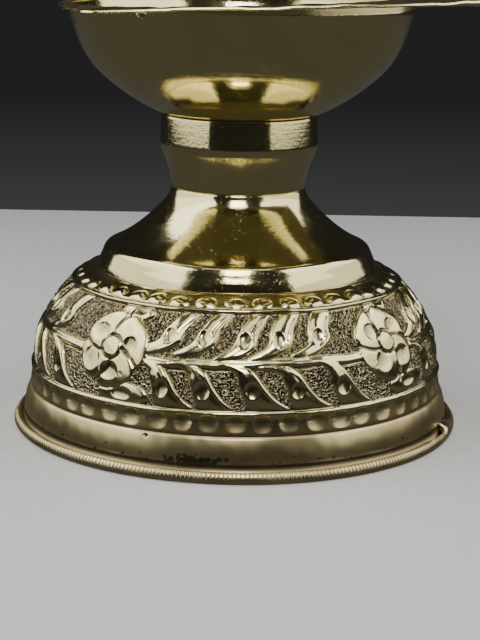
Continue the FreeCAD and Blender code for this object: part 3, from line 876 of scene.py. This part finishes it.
def spring_open(radius, height, turn):
    """Pull the lip back from the drum over a short arc, and lift its torn end beyond."""
    inner = smooth((44.9 - radius) / 1.2) * (radius > 43) * (height > 1.35)
    gone = smooth((turn - CRIMP_OPEN[0]) / 0.07) * (turn < CRIMP_OPEN[1])
    radius = radius + inner * gone * (44.75 - radius) * 0.75
    height = height + inner * gone * 0.1
    torn_end = CRIMP_OPEN[1]
    lift = smooth((CRIMP_LIFT_END - turn) / (CRIMP_LIFT_END - torn_end)) * (turn >= torn_end)
    rim = smooth((radius - 42.9) / 0.4) * smooth((height - 0.9) / 1.2)
    height = height + lift * rim * (0.9 + 0.8 * smooth((44.9 - radius) / 1.4))
    radius = radius + lift * rim * 0.55 - lift * inner * 1.3
    return radius, height


# ------------------------------ materials

def shader(name):
    """New metallic material, with its node tree and its surface node."""
    material = bpy.data.materials.new(name)
    material.use_nodes = True
    tree = material.node_tree
    surface = tree.nodes["Principled BSDF"]
    surface.inputs["Metallic"].default_value = 1.0
    return material, tree, surface


def own_place(tree):
    """Place on the piece, in metres."""
    return tree.nodes.new("ShaderNodeTexCoord").outputs["Object"]


def upright_part(tree, place):
    """Z of a place or a direction."""
    split = tree.nodes.new("ShaderNodeSeparateXYZ")
    tree.links.new(place, split.inputs["Vector"])
    return split.outputs["Z"]


def noise(tree, scale, detail=4, stretch=None):
    """Cloudy noise in the piece's own coordinates; scale is waves per metre."""
    texture = tree.nodes.new("ShaderNodeTexNoise")
    texture.inputs["Scale"].default_value = scale
    texture.inputs["Detail"].default_value = detail
    place = own_place(tree)
    if stretch:
        mapping = tree.nodes.new("ShaderNodeMapping")
        mapping.inputs["Scale"].default_value = stretch
        tree.links.new(place, mapping.inputs["Vector"])
        place = mapping.outputs["Vector"]
    tree.links.new(place, texture.inputs["Vector"])
    return texture.outputs["Fac"]


def span(tree, value, low, high, to_low=0.0, to_high=1.0):
    """Value moved from the range low to high into another range, and kept inside it."""
    node = tree.nodes.new("ShaderNodeMapRange")
    node.inputs["From Min"].default_value = low
    node.inputs["From Max"].default_value = high
    node.inputs["To Min"].default_value = to_low
    node.inputs["To Max"].default_value = to_high
    tree.links.new(value, node.inputs["Value"])
    return node.outputs["Result"]


def calculate(tree, operation, first, second):
    """Maths node fed with two sockets or numbers."""
    node = tree.nodes.new("ShaderNodeMath")
    node.operation = operation
    for socket, value in zip(node.inputs, (first, second)):
        if isinstance(value, (int, float)):
            socket.default_value = value
        else:
            tree.links.new(value, socket)
    return node.outputs["Value"]


def add_weighted(tree, base, *terms):
    """Base plus each value times its weight."""
    for value, weight in terms:
        base = calculate(tree, "ADD", base, calculate(tree, "MULTIPLY", value, weight))
    return base


def blend_colour(tree, share, first, second):
    """Mix of two colours, each a socket or a tuple."""
    node = tree.nodes.new("ShaderNodeMix")
    node.data_type = "RGBA"
    tree.links.new(share, node.inputs["Factor"])
    for socket, value in ((node.inputs["A"], first), (node.inputs["B"], second)):
        if isinstance(value, tuple):
            socket.default_value = (*value, 1)
        else:
            tree.links.new(value, socket)
    return node.outputs["Result"]


def bump(tree, height, distance, strength=1.0, under=None):
    """Surface direction tipped by a height, over another bump if one is given."""
    node = tree.nodes.new("ShaderNodeBump")
    node.inputs["Distance"].default_value = distance
    node.inputs["Strength"].default_value = strength
    tree.links.new(height, node.inputs["Height"])
    if under is not None:
        tree.links.new(under, node.inputs["Normal"])
    return node.outputs["Normal"]


def cells(tree, scale):
    """Small round pits packed side by side: 0 in each pit's middle."""
    texture = tree.nodes.new("ShaderNodeTexVoronoi")
    texture.inputs["Scale"].default_value = scale
    tree.links.new(own_place(tree), texture.inputs["Vector"])
    return texture.outputs["Distance"]


def attribute(tree, name):
    """Values stored on the mesh under a name."""
    node = tree.nodes.new("ShaderNodeAttribute")
    node.attribute_name = name
    return node.outputs["Fac"]


BRASS = (0.82, 0.735, 0.38)
BRASS_WARM = (0.78, 0.675, 0.315)
SOOT = (0.025, 0.021, 0.017)
SPECK_BROWN = (0.30, 0.23, 0.11)
PUNCHED_BRASS = (0.62, 0.54, 0.33)
DULL_BRASS = (0.54, 0.42, 0.21)
# Dark brown for tarnish in the drum's crevices and for its painted shade.
TARNISH_AND_SHADE_BROWN = (0.10, 0.08, 0.05)
FOOT_BRASS = (0.78, 0.65, 0.35)
FOOT_TARNISH = (0.50, 0.37, 0.18)
# Dark brown for the foot's ticks and for painted shade on its lip beside the drum.
FOOT_GRIME_AND_SHADE = (0.09, 0.065, 0.035)
MACHINED_BRASS = ((0.70, 0.54, 0.26), (0.58, 0.43, 0.2))
# Heights in metres: where the leaf's satin sheet begins, and where the drum's dull band ends.
SATIN_FROM = (0.0834, 0.0838)
DULL_BELOW = (0.0126, 0.0095)


def polished_brass():
    """Spun brass: bright, with faint turning lines, smears and specks; satin on the leaf."""
    material, tree, surface = shader("polished_brass")
    smear = span(tree, noise(tree, 90, 3), 0.35, 0.7)
    colour = blend_colour(tree, smear, BRASS, BRASS_WARM)
    speck = span(tree, noise(tree, 2600, 3), 0.68, 0.75)
    tree.links.new(blend_colour(tree, speck, colour, SPECK_BROWN), surface.inputs["Base Color"])
    rough = span(tree, noise(tree, 140, 6), 0.3, 0.75, 0.07, 0.15)
    rough = add_weighted(tree, rough, (speck, 0.2))
    satin = span(tree, upright_part(tree, own_place(tree)), *SATIN_FROM, 0.0, 0.13)
    tree.links.new(calculate(tree, "ADD", rough, satin), surface.inputs["Roughness"])
    lines = noise(tree, 60, 5, (1.0, 1.0, 60.0))
    turned = bump(tree, lines, 0.00002, 0.35)
    grain = calculate(tree, "SUBTRACT", noise(tree, 1300, 4), speck)
    tree.links.new(bump(tree, grain, 0.00003, 0.6, turned), surface.inputs["Normal"])
    return material


def embossed_brass():
    """Polished relief over a punched, darkened ground, with a duller band below it, tarnish in its
    crevices and painted shade in its hollows and above its seam.
    """
    material, tree, surface = shader("embossed_brass")
    ground, grime_and_shade = attribute(tree, "ground"), attribute(tree, "grime_and_shade")
    smear = span(tree, noise(tree, 110, 3), 0.35, 0.7)
    clean = blend_colour(tree, smear, BRASS, BRASS_WARM)
    punch = cells(tree, 2500)
    dark = blend_colour(tree, span(tree, punch, 0.40, 0.56), SOOT, PUNCHED_BRASS)
    low = span(tree, upright_part(tree, own_place(tree)), *DULL_BELOW)
    dull = calculate(tree, "MULTIPLY", low, span(tree, noise(tree, 80, 5), 0.3, 0.7, 0.35, 1.0))
    dulled = blend_colour(tree, dull, clean, DULL_BRASS)
    # Tarnish in crevices, stains, and painted shade in hollows and above the seam, all in one dark
    # brown.
    aged_and_shaded = blend_colour(tree, span(tree, grime_and_shade, 0.15, 0.9), dulled, TARNISH_AND_SHADE_BROWN)
    tree.links.new(blend_colour(tree, ground, aged_and_shaded, dark), surface.inputs["Base Color"])
    rough = span(tree, noise(tree, 160, 6), 0.3, 0.75, 0.13, 0.22)
    rough = add_weighted(tree, rough, (ground, 0.1), (grime_and_shade, 0.12), (low, 0.16))
    tree.links.new(rough, surface.inputs["Roughness"])
    pitted = calculate(tree, "MULTIPLY", punch, ground)
    tree.links.new(bump(tree, pitted, 0.0005, 1.0), surface.inputs["Normal"])
    return material


def foot_brass():
    """Handled brass at the foot: browner, with tarnish in patches, darker in the ticks, and painted
    shade on the lip where it meets the drum.
    """
    material, tree, surface = shader("foot_brass")
    grime_and_shade = attribute(tree, "grime_and_shade")
    patch = span(tree, noise(tree, 70, 6), 0.45, 0.72)
    colour = blend_colour(tree, patch, FOOT_BRASS, FOOT_TARNISH)
    # Darker in the ticks, with painted shade on the lip beside the drum.
    tree.links.new(blend_colour(tree, grime_and_shade, colour, FOOT_GRIME_AND_SHADE), surface.inputs["Base Color"])
    rough = span(tree, noise(tree, 200, 5), 0.3, 0.7, 0.24, 0.38)
    tree.links.new(add_weighted(tree, rough, (grime_and_shade, 0.2)), surface.inputs["Roughness"])
    tree.links.new(bump(tree, noise(tree, 900, 3), 0.00003, 0.5), surface.inputs["Normal"])
    return material


def plain_brass():
    """Machined brass for the hidden fasteners."""
    material, tree, surface = shader("plain_brass")
    tone = span(tree, noise(tree, 250, 4), 0.35, 0.65)
    tree.links.new(blend_colour(tree, tone, *MACHINED_BRASS), surface.inputs["Base Color"])
    rough = span(tree, noise(tree, 500, 4, (1, 1, 20)), 0.3, 0.7, 0.2, 0.38)
    tree.links.new(rough, surface.inputs["Roughness"])
    return material


# ------------------------------ stage, light and camera

FLOOR_TONES = ((0.66, 0.66, 0.65), (0.72, 0.72, 0.71))


def make_stage():
    """Plain pale floor that ends behind the lamp and that the brass doesn't mirror."""
    mesh = bpy.data.meshes.new("floor")
    wide, near, far = 1.2, -0.9, 0.25
    corners = [(-wide, near, 0), (wide, near, 0), (wide, far, 0), (-wide, far, 0)]
    mesh.from_pydata(corners, [], [(0, 1, 2, 3)])
    floor = bpy.data.objects.new("floor", mesh)
    bpy.context.scene.collection.objects.link(floor)
    material, tree, surface = shader("floor")
    surface.inputs["Metallic"].default_value = 0.0
    surface.inputs["Roughness"].default_value = 0.7
    tone = span(tree, noise(tree, 400, 6), 0.3, 0.7)
    tree.links.new(blend_colour(tree, tone, *FLOOR_TONES), surface.inputs["Base Color"])
    mesh.materials.append(material)
    floor.visible_glossy = False


def softbox(name, place, target, size, radiance):
    """Soft rectangular light of a given brightness that looks at a point."""
    light = bpy.data.lights.new(name, "AREA")
    light.shape = "RECTANGLE"
    light.size, light.size_y = size
    light.energy = radiance * math.pi * size[0] * size[1]
    lamp = bpy.data.objects.new(name, light)
    lamp.location = place
    lamp.rotation_euler = (Vector(target) - Vector(place)).to_track_quat("-Z", "Y").to_euler()
    lamp.visible_camera = False
    bpy.context.scene.collection.objects.link(lamp)


# Rows of the side softboxes as (height of the middle, height, radiance), and the sides as
# (name, distance, share of the radiance).
SOFTBOX_ROWS = ((0.10, 0.10, 1.4), (0.22, 0.14, 2.3), (0.385, 0.19, 3.2))
SOFTBOX_SIDES = (("left", -0.28, 1.0), ("right", 0.30, 0.88))
SOFTBOX_WIDTH, SOFTBOX_FORWARD = 0.49, -0.045
WORLD_ABOVE = (0.018, 0.018, 0.019)
WORLD_BELOW = (0.075, 0.075, 0.075)


def make_lights():
    """Three rows of softboxes on each side, one above and a small bright one in front."""
    for side, reach, share in SOFTBOX_SIDES:
        for row, (middle, tall, radiance) in enumerate(SOFTBOX_ROWS):
            softbox(f"{side}_softbox_{row}", (reach, SOFTBOX_FORWARD, middle),
                    (0, SOFTBOX_FORWARD, middle), (SOFTBOX_WIDTH, tall), radiance * share)
    softbox("top_softbox", (0.0, -0.12, 0.66), (0, 0, 0.05), (0.46, 0.30), 1.6)
    softbox("front_window", (0.0, -0.44, 0.48), (0, 0, 0.04), (0.20, 0.28), 9)


def make_world():
    """Dark studio above the horizon and a dim one below it."""
    world = bpy.data.worlds.new("studio")
    world.use_nodes = True
    tree = world.node_tree
    direction = tree.nodes.new("ShaderNodeTexCoord").outputs["Generated"]
    below = span(tree, upright_part(tree, direction), -0.10, -0.22)
    sky = blend_colour(tree, below, WORLD_ABOVE, WORLD_BELOW)
    tree.links.new(sky, tree.nodes["Background"].inputs["Color"])
    bpy.context.scene.world = world


CAMERA_PLACE = (0.0008, -0.3375, 0.0995)
CAMERA_DOWN, CAMERA_ROLL = math.radians(13.2), math.radians(1.0)


def make_camera():
    """Long lens in front of the lamp, looking slightly down, a degree off level."""
    camera = bpy.data.cameras.new("camera")
    camera.sensor_fit = "VERTICAL"
    camera.sensor_height = 36
    camera.lens = 95.5
    eye = bpy.data.objects.new("camera", camera)
    look = Euler((math.pi / 2 - CAMERA_DOWN, 0, 0)).to_matrix()
    look = look @ Matrix.Rotation(CAMERA_ROLL, 3, "Z")
    eye.matrix_world = Matrix.Translation(CAMERA_PLACE) @ look.to_4x4()
    bpy.context.scene.collection.objects.link(eye)
    bpy.context.scene.camera = eye


HIDDEN_NODES = ("bowl_socket", "tie_stud", "clamp_nuts", "clamp_washers", "seat_washer")


def dress_hidden_nodes(material):
    """Fasteners inside keep their CAD shape and only get a material."""
    for node in HIDDEN_NODES:
        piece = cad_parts[node]
        piece.data.materials.clear()
        piece.data.materials.append(material)


polished = polished_brass()
make_drum(embossed_brass())
make_bell(polished)
make_collar(polished)
make_bowl(polished)
make_leaf_rim(polished)
make_foot(foot_brass())
dress_hidden_nodes(plain_brass())
make_stage()
make_lights()
make_world()
make_camera()
